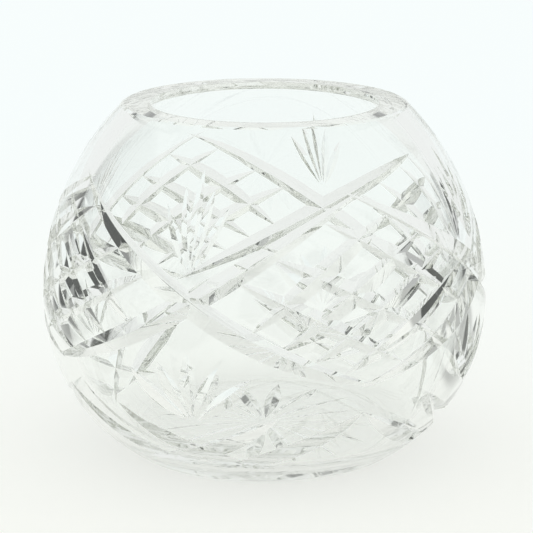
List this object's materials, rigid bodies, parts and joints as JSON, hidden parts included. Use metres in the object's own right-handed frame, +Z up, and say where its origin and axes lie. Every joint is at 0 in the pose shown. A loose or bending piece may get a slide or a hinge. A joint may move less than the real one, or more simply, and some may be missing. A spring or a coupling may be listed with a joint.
{
  "type": "rose bowl vase",
  "caption": "Squat globe vase of thick clear cut crystal with a flat ground rim, diamond panels, fan cuts and a star-cut flat base, for floating or short-stemmed flowers.",
  "frame": {"origin": "middle of the flat base, on the surface that the bowl stands on", "axes": "+Z up through the middle of the mouth; -Y and +X each pass through a junction where two cut panels meet"},
  "size_m": [0.14, 0.14, 0.11],
  "materials": {
    "crystal": "clear wheel-cut and polished lead crystal"
  },
  "bodies": {
    "root": {"bowl": "crystal"}
  },
  "joints": []
}
